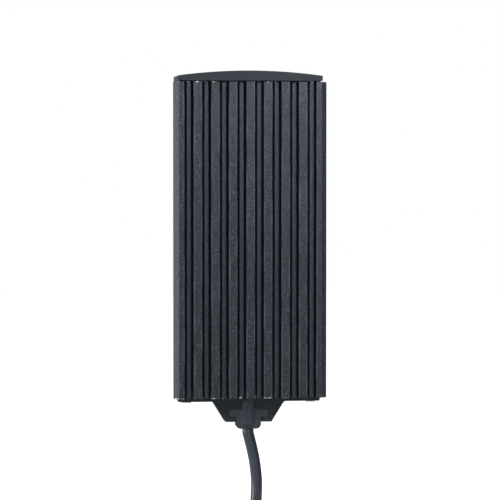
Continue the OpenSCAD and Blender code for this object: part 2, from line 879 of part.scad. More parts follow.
// A strip bent into flat-topped waves that press the stack against the tunnel's front
module pressure_spring() {
    wave = stack_h / spring_waves;
    low_y = spring_y + spring_t / 2;
    high_y = tunnel_rear_y - spring_t / 2;
    crests = [[0, low_y], [0.25, low_y], [0.5, high_y], [0.75, high_y]];
    path = [for (i = [0:spring_waves - 1], step = crests)
        [step[1], stack_z + spring_t + (i + step[0]) * wave]];
    color(steel_colour)
        from_side(stone_w)
            sheet_path(path, spring_t, [for (p = path) spring_bend]);
}

// A push-on crimp terminal for a tab whose front face lies at y
module terminal(x, y) {
    low = [x - tab_w / 2 - crimp_wall_t, y - crimp_wall_t, tab_z - crimp_wall_t];
    high = [x + tab_w / 2 + crimp_wall_t, y + electrode_t + crimp_wall_t, tab_z + crimp_h];
    difference() {
        union() {
            block(low, high);
            translate([x, y + electrode_t / 2, low.z - barrel_h])
                cylinder(h = barrel_h + sink, d = barrel_d);
        }
        block([x - tab_w / 2, y, tab_z], [x + tab_w / 2, y + electrode_t, high.z + past]);
        translate([x, y + electrode_t / 2, low.z - barrel_h - past])
            cylinder(h = barrel_h / 2 + past, d = core_d);
    }
}

module live_terminal() {
    color(brass_colour)
        terminal(-tab_x, front_tab_y);
}

module neutral_terminal() {
    color(brass_colour)
        terminal(tab_x, rear_electrode_y);
}

// A core from the sheath's end to a terminal's barrel
module inner_lead(start, x, y) {
    from = [0, lead_y, sheath_z] + start;
    to = [x, y + electrode_t / 2, tab_z - crimp_wall_t - barrel_h / 2];
    tube([from, from + [0, 0, core_straight], (from + to) / 2 - [0, 0, core_sag],
        to - [0, 0, barrel_h / 2 + core_straight], to], core_d, 8);
}

module live_lead() {
    color(live_colour)
        inner_lead(live_core, -tab_x, front_tab_y);
}

module neutral_lead() {
    color(neutral_colour)
        inner_lead(neutral_core, tab_x, rear_electrode_y);
}

module earth_lead() {
    from = [0, lead_y, sheath_z] + earth_core;
    to = [barrel_x + barrel_h / 2, lead_y, ring_z - barrel_d / 2];
    color(earth_colour)
        tube(concat([from], [for (step = earth_route) from + step],
            [to - [barrel_h / 2 + core_straight, 0, 0], to]), core_d, 8);
}

// The ring terminal under the earth screw, its barrel towards the lead
module earth_ring() {
    color(brass_colour)
        difference() {
            union() {
                translate([earth_x, lead_y, ring_z - ring_t])
                    cylinder(h = ring_t, r = earth_r);
                block([barrel_x + barrel_h - sink, lead_y - core_d / 2, ring_z - ring_t],
                    [earth_x, lead_y + core_d / 2, ring_z]);
                translate([barrel_x, lead_y, ring_z - barrel_d / 2])
                    rotate([0, 90, 0])
                        cylinder(h = barrel_h, d = barrel_d);
            }
            translate([earth_x, lead_y, ring_z - ring_t - past])
                cylinder(h = ring_t + 2 * past, d = earth_d);
            translate([barrel_x - past, lead_y, ring_z - barrel_d / 2])
                rotate([0, 90, 0])
                    cylinder(h = barrel_h / 2 + past, d = core_d);
        }
}

module earth_screw() {
    color(steel_colour)
        translate([earth_x, lead_y, ring_z - ring_t - earth_head_h])
            difference() {
                union() {
                    cylinder(h = earth_head_h, d = earth_head_d);
                    cylinder(h = earth_head_h + ring_t + screw_l, d = earth_d);
                }
                mirror([0, 0, 1])
                    cross_recess();
            }
}

// Rail clip

// The countersunk head and shank of a clip screw, pointing to the front from the clip's face
module clip_screw_shape(length) {
    rotate([90, 0, 0]) {
        cylinder(h = clip_t, d1 = clip_screw_d + 2 * clip_t, d2 = clip_screw_d);
        cylinder(h = length, d = clip_screw_d);
    }
}

module at_clip_screws() {
    for (side = [-1, 1])
        translate([side * clip_screw_gap / 2, 0, 0])
            children();
}

module rail_clip() {
    color(steel_colour)
        difference() {
            from_side(clip_w)
                sheet_path([
                    [hook_y, rail_w / 2 - upper_hook], [hook_y, hook_z],
                    [-clip_t / 2, hook_z], [-clip_t / 2, -hook_z], [hook_y, -hook_z],
                    [hook_y, lip_bend_z], [hook_y + lip_l, lip_bend_z - lip_l * tan(lip_slope)]],
                    clip_t, [clip_bend, clip_bend, clip_bend, clip_bend, lip_bend]);
            at_clip_screws()
                clip_screw_shape(clip_t + past);
        }
}

module clip_screws() {
    color(steel_colour)
        at_clip_screws()
            difference() {
                clip_screw_shape(clip_t + wall_t + clip_screw_past);
                rotate([-90, 0, 0])
                    cross_recess();
            }
}

finned_body();
top_cap();
bottom_cap();
top_gasket();
bottom_gasket();
top_cap_screws();
bottom_cap_screws();
strain_relief();
lead_sheath();
front_electrode();
rear_electrode();
insulating_sleeve();
pressure_spring();
live_terminal();
neutral_terminal();
live_lead();
neutral_lead();
earth_lead();
earth_ring();
earth_screw();
rail_clip();
clip_screws();
supply_cord();
cord_coil();
cord_tie();
live_core_end();
neutral_core_end();
earth_core_end();
core_ferrules();
for (i = [1:stone_count])
    heating_stone(i);
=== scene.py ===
"""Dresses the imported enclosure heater: its lead, fasteners and finishes, and a plain studio."""

import math

import bmesh
import bpy
from bpy.props import FloatProperty, FloatVectorProperty, IntProperty, PointerProperty
from mathutils import Matrix, Vector


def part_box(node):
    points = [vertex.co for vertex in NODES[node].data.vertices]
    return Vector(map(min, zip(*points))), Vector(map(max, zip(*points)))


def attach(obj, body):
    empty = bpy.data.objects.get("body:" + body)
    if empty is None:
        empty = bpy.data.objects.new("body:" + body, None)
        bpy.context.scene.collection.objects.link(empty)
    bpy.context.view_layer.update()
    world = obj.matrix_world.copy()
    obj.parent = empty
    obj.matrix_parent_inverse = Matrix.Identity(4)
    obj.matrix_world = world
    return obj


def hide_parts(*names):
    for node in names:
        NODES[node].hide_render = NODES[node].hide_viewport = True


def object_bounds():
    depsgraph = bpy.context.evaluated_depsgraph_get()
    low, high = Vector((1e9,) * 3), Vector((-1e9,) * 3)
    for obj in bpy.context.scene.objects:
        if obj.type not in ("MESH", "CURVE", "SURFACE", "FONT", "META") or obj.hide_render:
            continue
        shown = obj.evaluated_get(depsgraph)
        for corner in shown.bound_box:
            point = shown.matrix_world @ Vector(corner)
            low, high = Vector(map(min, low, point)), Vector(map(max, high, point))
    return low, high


bl_info = {
    "name": "Enclosure heater",
    "version": (1, 0, 0),
    "blender": (4, 5, 0),
    "location": "View3D > Sidebar > Heater",
    "description": "Makes the lead, the fasteners and the finishes of a finned enclosure heater",
    "category": "Object",
}

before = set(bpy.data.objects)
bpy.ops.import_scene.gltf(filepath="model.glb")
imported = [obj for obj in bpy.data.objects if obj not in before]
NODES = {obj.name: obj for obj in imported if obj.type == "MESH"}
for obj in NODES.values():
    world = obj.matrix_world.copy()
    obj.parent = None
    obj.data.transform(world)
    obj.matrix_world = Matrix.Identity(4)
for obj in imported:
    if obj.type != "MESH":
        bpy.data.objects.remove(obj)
CAD_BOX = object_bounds()
BODY = "root"
MM = 0.001

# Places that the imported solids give
BODY_LOW, BODY_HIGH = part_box("finned_body")
EXIT = Vector((0.0, sum(c.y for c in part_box("lead_sheath")) / 2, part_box("strain_relief")[0].z))
FIN_TIP_Y = BODY_LOW.y
FIN_PITCH = 0.0092
FIN_WIDTH = 0.0045

# The hanging lead, as sideways and downward steps in millimetres from its exit
LEAD_ROUTE = [
    (0, 0), (0, -2), (0.6, -4.5), (1.5, -8), (2.6, -12.5), (3.6, -17.5), (4.3, -23), (4.7, -29),
    (4.5, -36), (4, -43), (3.6, -48), (3.4, -52), (3.4, -54), (3.4, -62), (3.4, -70), (3.4, -77),
]
# Part of each turn of the coil in which the lead passes to the next layer, in degrees
CROSSING = (255, 325)
# Cores of the lead, and the ring on which they leave its sheath
CORES = {"live": 210, "neutral": 330, "earth": 90}
CORE_RING = 1.3 * MM
# Part of a tube's radius that its softened end edge takes off
END_EDGE = 0.12

# The tie's ratchet head, its strap's cut end and the teeth on it
TIE_HEAD = Vector((0.0028, 0.0046, 0.0048))
TIE_END = 0.006
TEETH = 7
TOOTH_PITCH = 0.0006

# The lamps' direction in degrees, distance and size, and the settings with their power
LAMPS = {
    "left_softbox": (-91, 6, 1.0, (0.6, 1.2), "left_light"),
    "right_softbox": (27, 42, 0.4, (0.22, 0.22), "right_light"),
    "top_softbox": (10, 80, 1.2, (0.9, 0.9), "top_light"),
    "back_softbox": (178, 25, 1.1, (0.9, 0.9), "back_light"),
    "left_strip": (-40, -4, 1.0, (0.06, 0.7), "left_strip"),
    "front_strip": (10, -4, 1.0, (0.06, 0.7), "front_strip"),
}
LAMP_COLOUR = (0.91, 0.95, 1.0)
FLOOR_REACH = 4.0
FLOOR_GAP = 0.003
# Part of the floor's white that is its own glow near the heater
NEAR_GLOW = 0.25
# How far behind the heater the floor starts to show white in mirroring surfaces
MIRRORED_FROM = 1.5

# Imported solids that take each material
FINISHES = {
    "extrusion": ("finned_body",),
    "caps": ("top_cap",),
    # The lower cap takes a lighter copy of the caps' plastic, painted light against the body's shade
    # on it
    "foot": ("bottom_cap",),
    "gasket": ("top_gasket", "bottom_gasket"),
    "relief": ("strain_relief",),
    "sheath": ("lead_sheath", "supply_cord", "cord_coil"),
    "zinc": ("rail_clip", "earth_screw", "top_cap_screws", "bottom_cap_screws", "clip_screws"),
    "brass": ("front_electrode", "rear_electrode", "live_terminal", "neutral_terminal",
              "earth_ring"),
    "film": ("insulating_sleeve",),
    "spring": ("pressure_spring",),
    "live": ("live_lead", "live_core_end"),
    "neutral": ("neutral_lead", "neutral_core_end"),
    "earth": ("earth_lead", "earth_core_end"),
    "tin": ("core_ferrules",),
    "tie": ("cord_tie",),
    "stone": tuple(sorted(node for node in NODES if node.startswith("heating_stone_"))),
}


def length(name, description, default):
    """A setting that is a length."""
    return FloatProperty(name=name, description=description, default=default, unit="LENGTH")


def colour(name, description, default):
    """A setting that is a colour."""
    return FloatVectorProperty(name=name, description=description, default=default, subtype="COLOR")


def power(name, description, default):
    """A setting that is a lamp's power."""
    return FloatProperty(name=name, description=description, default=default, unit="POWER")


class HeaterLead(bpy.types.PropertyGroup):
    """Sizes of the supply lead."""

    diameter: length("Diameter", "Outer diameter of the lead's sheath", 0.006)
    coil_radius: length(
        "Coil radius", "Radius of the stored coil at the middle of its turns", 0.0315)
    turn_pitch: length("Turn pitch", "Distance between neighbouring turns of the coil", 0.0062)
    turns: IntProperty(name="Turns", description="Turns of the stored coil", default=2, min=1)
    tail: length("Tail", "Length that hangs from the coil", 0.025)
    ripple: length("Ripple", "How far the twisted cores show through the sheath", 0.00007)
    lay: length("Lay", "Length of one twist of the cores", 0.055)
    core_diameter: length("Core diameter", "Diameter of a core with its insulation", 0.0022)
    core_length: length("Core length", "Length of the bared cores", 0.022)
    core_spread: length("Core spread", "How far the bared cores spread", 0.0032)


class HeaterFastenings(bpy.types.PropertyGroup):
    """Sizes of the screws, ferrules and the lead's tie."""

    cap_head: length("Cap screw head", "Head diameter of the cap screws", 0.0056)
    cap_head_height: length("Cap screw head height", "Head height of the cap screws", 0.0011)
    cap_shank: length("Cap screw shank", "Shank diameter of the cap screws", 0.0029)
    cap_length: length("Cap screw length", "Shank length of the cap screws", 0.012)
    cross: length("Cross recess", "Length of the arms of the cross recess", 0.003)
    cross_width: length("Cross width", "Width of the arms of the cross recess", 0.0008)
    cross_depth: length("Cross depth", "Depth of the cross recess", 0.0007)
    collar: length("Ferrule collar", "Diameter of a ferrule's collar", 0.003)
    collar_length: length("Collar length", "Length of a ferrule's collar", 0.006)
    pin: length("Ferrule pin", "Diameter of a ferrule's pin", 0.0015)
    pin_length: length("Pin length", "Length of a ferrule's pin", 0.008)
    strap_width: length("Strap width", "Width of the tie's strap", 0.0035)
    strap_thickness: length("Strap thickness", "Thickness of the tie's strap", 0.0011)


class HeaterFinish(bpy.types.PropertyGroup):
    """Colours of the heater's materials."""

    extrusion: colour("Extrusion", "Dark anodised finish of the extrusion", (0.0095, 0.0115, 0.017))
    # Painted glints: pale colour of the brightest grains, standing in for the sheen of the blasted
    # finish
    painted_glints: colour("Sparks", "Brightest grains of the blasted finish", (0.19, 0.2, 0.225))
    bare_metal: colour("Bare metal", "Aluminium in the chips at the sawn ends", (0.72, 0.73, 0.75))
    caps: colour("Upper cap", "Moulded upper cap", (0.018, 0.0216, 0.0272))
    # The caps' plastic made lighter, painted light for the lower cap in the body's shade
    foot: colour("Lower cap", "Moulded lower cap", (0.024, 0.029, 0.037))
    relief: colour("Strain relief", "Moulded strain relief", (0.0265, 0.032, 0.043))
    sheath: colour("Sheath", "Sheath of the lead", (0.024, 0.0293, 0.0395))
    live: colour("Live", "Insulation of the live core", (0.13, 0.05, 0.022))
    neutral: colour("Neutral", "Insulation of the neutral core", (0.03, 0.11, 0.38))
    earth: colour("Earth", "Green of the earth core", (0.06, 0.3, 0.04))
    earth_stripe: colour("Earth stripe", "Yellow of the earth core", (0.75, 0.6, 0.03))
    zinc: colour("Zinc", "Zinc-plated steel", (0.47, 0.475, 0.49))


class HeaterStage(bpy.types.PropertyGroup):
    """The camera and the lamps."""

    azimuth: FloatProperty(
        name="Azimuth", description="Camera's angle round the heater, to the left if negative",
        default=math.radians(-6.8), subtype="ANGLE")
    elevation: FloatProperty(
        name="Elevation", description="Camera's angle above the heater's middle",
        default=math.radians(2.0), subtype="ANGLE")
    distance: length("Distance", "From the camera to the fins", 1.35)
    view_width: length("View width", "Width of the picture at the fins", 0.2603)
    aim: FloatVectorProperty(
        name="Aim", description="Point of the fins' plane in the middle of the picture",
        default=(-0.0004, FIN_TIP_Y, -0.005), subtype="TRANSLATION")
    left_light: power("Left light", "Power of the large lamp on the left", 12.0)
    right_light: power("Right light", "Power of the lamp in front, high on the right", 2.1)
    top_light: power("Top light", "Power of the lamp above", 4.0)
    back_light: power("Back light", "Power of the lamp behind", 5.0)
    left_strip: power("Left strip", "Power of the narrow lamp on the left", 1.3)
    front_strip: power("Front strip", "Power of the narrow lamp in front", 0.9)
    surround: FloatProperty(
        name="Surround", description="Strength of the light from all sides", default=0.1,
        subtype="FACTOR")


# Meshes

def new_object(name, mesh, *materials):
    """A new object at the origin that shows the mesh in the given materials."""
    obj = bpy.data.objects.new(name, mesh)
    bpy.context.scene.collection.objects.link(obj)
    for material in materials:
        mesh.materials.append(material)
    return obj


def shade_smooth(mesh, angle):
    """Smooth shading with sharp edges where faces meet at more than angle degrees."""
    mesh.polygons.foreach_set("use_smooth", [True] * len(mesh.polygons))
    mesh.set_sharp_from_angle(angle=math.radians(angle))


def mesh_from(bm, name, angle=40):
    """The finished mesh of a bmesh, shaded smooth."""
    mesh = bpy.data.meshes.new(name)
    bm.to_mesh(mesh)
    bm.free()
    shade_smooth(mesh, angle)
    return mesh


def add_block(bm, centre, size, chamfer, segments):
    """Adds a block with chamfered edges."""
    made = bmesh.ops.create_cube(bm, size=1.0, matrix=Matrix.LocRotScale(centre, None, size))
    corners = set(made["verts"])
    edges = [edge for edge in bm.edges if edge.verts[0] in corners]
    bmesh.ops.bevel(bm, geom=edges, offset=chamfer, segments=segments, affect="EDGES")


def smooth_path(points, steps):
    """A curve through the points, with steps pieces between each two."""
    path = []
    for i in range(len(points) - 1):
        a, b = points[max(i - 1, 0)], points[i]
        c, d = points[i + 1], points[min(i + 2, len(points) - 1)]
        for k in range(steps):
            t = k / steps
            path.append(0.5 * (
                2 * b + (c - a) * t + (2 * a - 5 * b + 4 * c - d) * t ** 2
                + (3 * b - a - 3 * c + d) * t ** 3))
    path.append(points[-1].copy())
    return path


def path_frames(path):
    """A direction and two axes square to it at each point, turned as little as possible."""
    last = len(path) - 1
    frames = []
    for i, point in enumerate(path):
        ahead = (path[min(i + 1, last)] - path[max(i - 1, 0)]).normalized()
        if frames:
            before, side, _ = frames[-1]
            side = before.rotation_difference(ahead) @ side
        else:
            side = ahead.orthogonal()
        side = (side - ahead * side.dot(ahead)).normalized()
        frames.append((ahead, side, ahead.cross(side)))
    return frames


def tube_mesh(name, path, radius, sides, ripple=0.0, lay=1.0):
    """A closed tube along a path with softened end edges and a map of length and angle."""
    frames = path_frames(path)
    bm = bmesh.new()
    uv = bm.loops.layers.uv.new("along")
    rings, runs = [], []
    run = 0.0

    def ring(i, share, shift):
        ahead, side, up = frames[i]
        centre = path[i] + ahead * shift
        verts = []
        for k in range(sides):
            angle = 2 * math.pi * k / sides
            wave = math.cos(len(CORES) * angle - 2 * math.pi * run / lay)
            r = (radius + ripple * wave) * share
            verts.append(bm.verts.new(
                centre + side * (r * math.cos(angle)) + up * (r * math.sin(angle))))
        rings.append(verts)
        runs.append(run + shift)

    ring(0, 1 - END_EDGE, 0.0)
    ring(0, 1.0, END_EDGE * radius)
    for i in range(1, len(path) - 1):
        run += (path[i] - path[i - 1]).length
        ring(i, 1.0, 0.0)
    run += (path[-1] - path[-2]).length
    ring(len(path) - 1, 1.0, -END_EDGE * radius)
    ring(len(path) - 1, 1 - END_EDGE, 0.0)
    for i, (low, high) in enumerate(zip(rings, rings[1:])):
        for k in range(sides):
            n = (k + 1) % sides
            face = bm.faces.new((low[k], low[n], high[n], high[k]))
            corners = ((k, i), (k + 1, i), (k + 1, i + 1), (k, i + 1))
            for loop, (column, row) in zip(face.loops, corners):
                loop[uv].uv = (runs[row] / lay, column / sides)
    bm.faces.new(list(reversed(rings[0])))
    bm.faces.new(rings[-1])
    return mesh_from(bm, name)


def points_mesh(name, points):
    """A mesh of loose points, for placing repeated parts on."""
    mesh = bpy.data.meshes.new(name)
    mesh.from_pydata([tuple(p) for p in points], [], [])
    return mesh


# Geometry node trees

# Attribute of the faces that take a tree's second material
MARK = "second_material"


class Tree:
    """Short ways to add and join nodes in one node tree."""

    def __init__(self, tree):
        self.tree = tree

    def node(self, kind, inputs=None, **settings):
        """A new node with its settings, its inputs set to values or joined to sockets."""
        made = self.tree.nodes.new(kind)
        for key, value in settings.items():
            setattr(made, key, value)
        for key, value in (inputs or {}).items():
            self.feed(made.inputs[key], value)
        return made

    def feed(self, socket, value):
        """Joins a socket to another one, or sets it to a value."""
        if isinstance(value, bpy.types.NodeSocket):
            self.tree.links.new(value, socket)
        else:
            socket.default_value = value

    def math(self, operation, a, b=0.0, clamp=False):
        """The result of an operation on two values."""
        made = self.node("ShaderNodeMath", operation=operation, use_clamp=clamp)
        self.feed(made.inputs[0], a)
        self.feed(made.inputs[1], b)
        return made.outputs[0]

    def times(self, a, b, clamp=False):
        """The product of two values."""
        return self.math("MULTIPLY", a, b, clamp)

    def plus(self, a, b, clamp=False):
        """The sum of two values."""
        return self.math("ADD", a, b, clamp)

    def minus(self, a, b, clamp=False):
        """The difference of two values."""
        return self.math("SUBTRACT", a, b, clamp)

    def split(self, vector):
        """The three parts of a vector."""
        return self.node("ShaderNodeSeparateXYZ", {"Vector": vector}).outputs

    def vector(self, x=0.0, y=0.0, z=0.0):
        """A vector made of three parts."""
        return self.node("ShaderNodeCombineXYZ", {"X": x, "Y": y, "Z": z}).outputs["Vector"]

    def noise(self, vector, scale, detail, roughness=0.5):
        """A noise value from 0 to 1."""
        return self.node("ShaderNodeTexNoise", {
            "Vector": vector, "Scale": scale, "Detail": detail, "Roughness": roughness}).outputs[0]

    def drawn_out(self, vector, share):
        """Coordinates that stretch what is made from them along Z."""
        made = self.node("ShaderNodeVectorMath", {0: vector}, operation="MULTIPLY")
        made.inputs[1].default_value = (1.0, 1.0, share)
        return made.outputs["Vector"]


def geometry_tree(name, sizes):
    """A geometry node tree with named sizes, its helper and its input node."""
    tree = bpy.data.node_groups.new(name, "GeometryNodeTree")
    tree.interface.new_socket("Geometry", in_out="INPUT", socket_type="NodeSocketGeometry")
    for label in sizes:
        tree.interface.new_socket(label, in_out="INPUT", socket_type="NodeSocketFloat")
    tree.interface.new_socket("Geometry", in_out="OUTPUT", socket_type="NodeSocketGeometry")
    helper = Tree(tree)
    return helper, helper.node("NodeGroupInput")


def close_tree(helper, geometry, material, marked=None):
    """Realizes what a tree has made, gives it its material, and its marked faces another one."""
    real = helper.node("GeometryNodeRealizeInstances", {"Geometry": geometry})
    out = helper.node("GeometryNodeSetMaterial", {
        "Geometry": real.outputs["Geometry"], "Material": material})
    if marked:
        mark = helper.node("GeometryNodeInputNamedAttribute", {"Name": MARK}, data_type="BOOLEAN")
        chosen = next(socket for socket in mark.outputs if socket.enabled)
        out = helper.node("GeometryNodeSetMaterial", {
            "Geometry": out.outputs["Geometry"], "Selection": chosen, "Material": marked})
    helper.node("NodeGroupOutput", {"Geometry": out.outputs["Geometry"]})


def mark_faces(helper, geometry):
    """The geometry with its faces marked for a second material."""
    made = helper.node("GeometryNodeStoreNamedAttribute", data_type="BOOLEAN", domain="FACE")
    helper.feed(made.inputs["Geometry"], geometry)
    helper.feed(made.inputs["Name"], MARK)
    helper.feed(next(s for s in made.inputs if s.enabled and s.name == "Value"), True)
    return made.outputs["Geometry"]


def moved(helper, geometry, shift, turn=(0.0, 0.0, 0.0)):
    """The geometry turned and then moved."""
    made = helper.node("GeometryNodeTransform", {"Geometry": geometry, "Rotation": turn})
    helper.feed(made.inputs["Translation"], shift)
    return made.outputs["Geometry"]


def joined(helper, *parts):
    """Several geometries as one."""
    made = helper.node("GeometryNodeJoinGeometry")
    for part in parts:
        helper.tree.links.new(part, made.inputs["Geometry"])
    return made.outputs["Geometry"]


def on_points(helper, mesh, part, rotation=(0.0, 0.0, 0.0)):
    """A part on each point of a mesh."""
    return helper.node("GeometryNodeInstanceOnPoints", {
        "Points": mesh, "Instance": part, "Rotation": rotation}).outputs["Instances"]


def drum(helper, radius, height, sides=48, top=None):
    """A cylinder or cone that stands on the XY plane."""
    made = helper.node("GeometryNodeMeshCone", {
        "Vertices": sides, "Radius Bottom": radius, "Radius Top": radius if top is None else top,
        "Depth": height})
    return made.outputs["Mesh"]


def combined(helper, operation, first, *others):
    """Closed meshes joined to the first one or cut from it."""
    made = helper.node("GeometryNodeMeshBoolean", operation=operation, solver="MANIFOLD")
    if operation == "DIFFERENCE":
        helper.feed(made.inputs["Mesh 1"], first)
    else:
        others = (first, *others)
    for other in others:
        helper.tree.links.new(other, made.inputs["Mesh 2"])
    return made.outputs["Mesh"]


def grow(obj, helper, sizes):
    """Runs a geometry node tree on an object and keeps the result as its plain mesh."""
    modifier = obj.modifiers.new(helper.tree.name, "NODES")
    modifier.node_group = helper.tree
    for item in helper.tree.interface.items_tree:
        if item.item_type == "SOCKET" and item.in_out == "INPUT" and item.name in sizes:
            modifier[item.identifier] = sizes[item.name]
    graph = bpy.context.evaluated_depsgraph_get()
    mesh = bpy.data.meshes.new_from_object(obj.evaluated_get(graph))
    obj.modifiers.remove(modifier)
    obj.data = mesh
    shade_smooth(mesh, 35)
    return obj


def screw_tree(name, material, turn, countersunk):
    """Screws with a cross recess on each point of a mesh, their heads turned by turn."""
    sizes = ("Head Radius", "Head Height", "Shank Radius", "Shank Length", "Cross Length",
             "Cross Width", "Cross Depth")
    helper, group = geometry_tree(name, sizes)
    out = group.outputs
    crown_share, thick_share, overlap_share = 0.88, 0.97, 0.2
    if countersunk:
        head = drum(helper, out["Shank Radius"], out["Head Height"], top=out["Head Radius"])
    else:
        crown = helper.times(out["Head Radius"], crown_share)
        head = drum(helper, out["Head Radius"], out["Head Height"], top=crown)
    overlap = helper.times(out["Head Height"], overlap_share)
    down = helper.times(out["Shank Length"], -1.0)
    thick = helper.times(out["Shank Radius"], thick_share)
    shank = moved(helper, drum(
        helper, thick, helper.plus(out["Shank Length"], overlap), 20), helper.vector(z=down))
    cut_size = helper.vector(
        out["Cross Length"], out["Cross Width"], helper.times(out["Cross Depth"], 2.0))
    bar = helper.node("GeometryNodeMeshCube", {"Size": cut_size})
    screw = combined(helper, "UNION", head, shank)
    # The arms miss the head's corners and differ a little in depth, so that no faces coincide
    offset, second_rise = 0.01, 1.03
    for angle, rise in ((offset, 1.0), (offset + math.pi / 2, second_rise)):
        top = helper.vector(z=helper.times(out["Head Height"], rise))
        screw = combined(helper, "DIFFERENCE", screw, moved(
            helper, bar.outputs["Mesh"], top, (0.0, 0.0, angle)))
    aimed = moved(helper, screw, (0.0, 0.0, 0.0), turn)
    axis = Vector((0.0, 0.0, 1.0))
    axis.rotate(Matrix.Rotation(turn[0], 3, "X"))
    spin = helper.node("FunctionNodeRandomValue", {"Max": math.pi, "Seed": 7}, data_type="FLOAT")
    rotation = helper.node("FunctionNodeAxisAngleToRotation", {"Axis": tuple(axis)})
    value = next(s for s in spin.outputs if s.enabled and s.type == "VALUE")
    helper.tree.links.new(value, rotation.inputs["Angle"])
    placed = on_points(helper, out["Geometry"], aimed, rotation.outputs["Rotation"])
    close_tree(helper, placed, material)
    return helper


def ferrule_tree(name, pin_material, collar_material):
    """Crimped ferrules that hang down from each point of a mesh."""
    sizes = ("Collar Radius", "Collar Length", "Pin Radius", "Pin Length", "Dent Pitch")
    helper, group = geometry_tree(name, sizes)
    out = group.outputs
    throat = helper.times(out["Collar Radius"], 0.72)
    collar_down = helper.times(out["Collar Length"], -1.0)
    collar = moved(helper, drum(helper, throat, out["Collar Length"], 24, out["Collar Radius"]),
                   helper.vector(z=collar_down))
    neck = helper.times(out["Pin Radius"], 0.86)
    total = helper.plus(out["Collar Length"], out["Pin Length"])
    pin = moved(helper, drum(helper, neck, out["Pin Length"], 16),
                helper.vector(z=helper.times(total, -1.0)))
    count = helper.math("FLOOR", helper.math("DIVIDE", out["Pin Length"], out["Dent Pitch"]))
    step = helper.vector(z=helper.times(out["Dent Pitch"], -1.0))
    start = helper.vector(z=helper.minus(collar_down, out["Dent Pitch"]))
    line = helper.node("GeometryNodeMeshLine", {
        "Count": count, "Start Location": start, "Offset": step}, mode="OFFSET")
    band_height = helper.times(out["Dent Pitch"], 0.6)
    band = drum(helper, out["Pin Radius"], band_height, 4)
    bands = on_points(helper, line.outputs["Mesh"], band)
    ferrule = joined(helper, pin, bands, mark_faces(helper, collar))
    close_tree(helper, on_points(helper, out["Geometry"], ferrule), pin_material, collar_material)
    return helper


def teeth_tree(name, material):
    """A row of ratchet teeth along a strap's end, one on each point of a mesh."""
    helper, group = geometry_tree(name, ("Tooth Length", "Tooth Height", "Tooth Width"))
    out = group.outputs
    size = helper.vector(out["Tooth Height"], out["Tooth Length"], out["Tooth Width"])
    tooth = helper.node("GeometryNodeMeshCube", {"Size": size})
    lean = 0.35
    leaning = moved(helper, tooth.outputs["Mesh"], (0.0, 0.0, 0.0), (0.0, 0.0, lean))
    close_tree(helper, on_points(helper, out["Geometry"], leaning), material)
    return helper


# Shader node groups

def shader_group(name, inputs, outputs):
    """A shader node group with named sockets, its helper and its input node."""
    tree = bpy.data.node_groups.new(name, "ShaderNodeTree")
    tree.interface.new_socket("Vector", in_out="INPUT", socket_type="NodeSocketVector")
    for label, value in inputs.items():
        socket = tree.interface.new_socket(label, in_out="INPUT", socket_type="NodeSocketFloat")
        socket.default_value = value
    for label in outputs:
        tree.interface.new_socket(label, in_out="OUTPUT", socket_type="NodeSocketFloat")
    helper = Tree(tree)
    return helper, helper.node("NodeGroupInput")


def around_one(helper, value, strength):
    """A noise value from 0 to 1 turned into a factor on both sides of 1."""
    centred = helper.minus(value, 0.5)
    factor = helper.plus(helper.times(centred, strength), 1.0)
    return helper.math("MAXIMUM", factor, 0.1)


def make_grain_group():
    """Fine speckles of blasted or spark-eroded surfaces, in two sizes, and painted glints on the
    brightest grains.
    """
    helper, group = shader_group(
        "blasted_grain", {"Grain": 0.0006, "Strength": 0.5}, ("Tone", "Height", "Sparks"))
    scale = helper.math("DIVIDE", 1.0, group.outputs["Grain"])
    fine_share, coarse_scale = 0.7, 0.31
    glint_limit, glint_gain = 0.585, 6.0
    fine = helper.noise(group.outputs["Vector"], scale, 2.0, 0.7)
    coarse = helper.noise(group.outputs["Vector"], helper.times(scale, coarse_scale), 1.0)
    both = helper.plus(helper.times(fine, fine_share), helper.times(coarse, 1 - fine_share))
    # The brightest grains become painted glints
    painted_glints = helper.times(helper.minus(fine, glint_limit), glint_gain, True)
    helper.node("NodeGroupOutput", {
        "Tone": around_one(helper, both, group.outputs["Strength"]), "Height": fine,
        "Sparks": painted_glints})
    return helper.tree


def make_cloud_group():
    """Soft uneven patches of tone."""
    helper, group = shader_group("soft_patches", {"Patch": 0.03, "Strength": 0.2}, ("Tone",))
    scale = helper.math("DIVIDE", 1.0, group.outputs["Patch"])
    noise = helper.noise(group.outputs["Vector"], scale, 3.0)
    helper.node("NodeGroupOutput", {
        "Tone": around_one(helper, noise, group.outputs["Strength"])})
    return helper.tree


def make_line_group():
    """Fine lines along Z, as drawn and extruded metal has."""
    helper, group = shader_group("drawn_lines", {"Pitch": 0.0004, "Strength": 0.2},
                                 ("Tone", "Height"))
    scale = helper.math("DIVIDE", 1.0, group.outputs["Pitch"])
    noise = helper.noise(helper.drawn_out(group.outputs["Vector"], 0.012), scale, 1.0)
    helper.node("NodeGroupOutput", {
        "Tone": around_one(helper, noise, group.outputs["Strength"]), "Height": noise})
    return helper.tree


def make_sawn_group():
    """Chips beside the sawn ends, where the finish is missing."""
    helper, group = shader_group(
        "sawn_ends", {"Half Height": BODY_HIGH.z, "Chip": 0.0008, "Share": 0.555}, ("Mask",))
    parts = helper.split(group.outputs["Vector"])
    inward = helper.minus(group.outputs["Half Height"], helper.math("ABSOLUTE", parts["Z"]))
    reach = helper.math("DIVIDE", inward, group.outputs["Chip"])
    fall, gain = 0.22, 25.0
    noise = helper.noise(group.outputs["Vector"], 420.0, 1.5)
    limit = helper.plus(group.outputs["Share"], helper.times(reach, fall))
    chips = helper.times(helper.minus(noise, limit), gain, True)
    helper.node("NodeGroupOutput", {"Mask": chips})
    return helper.tree


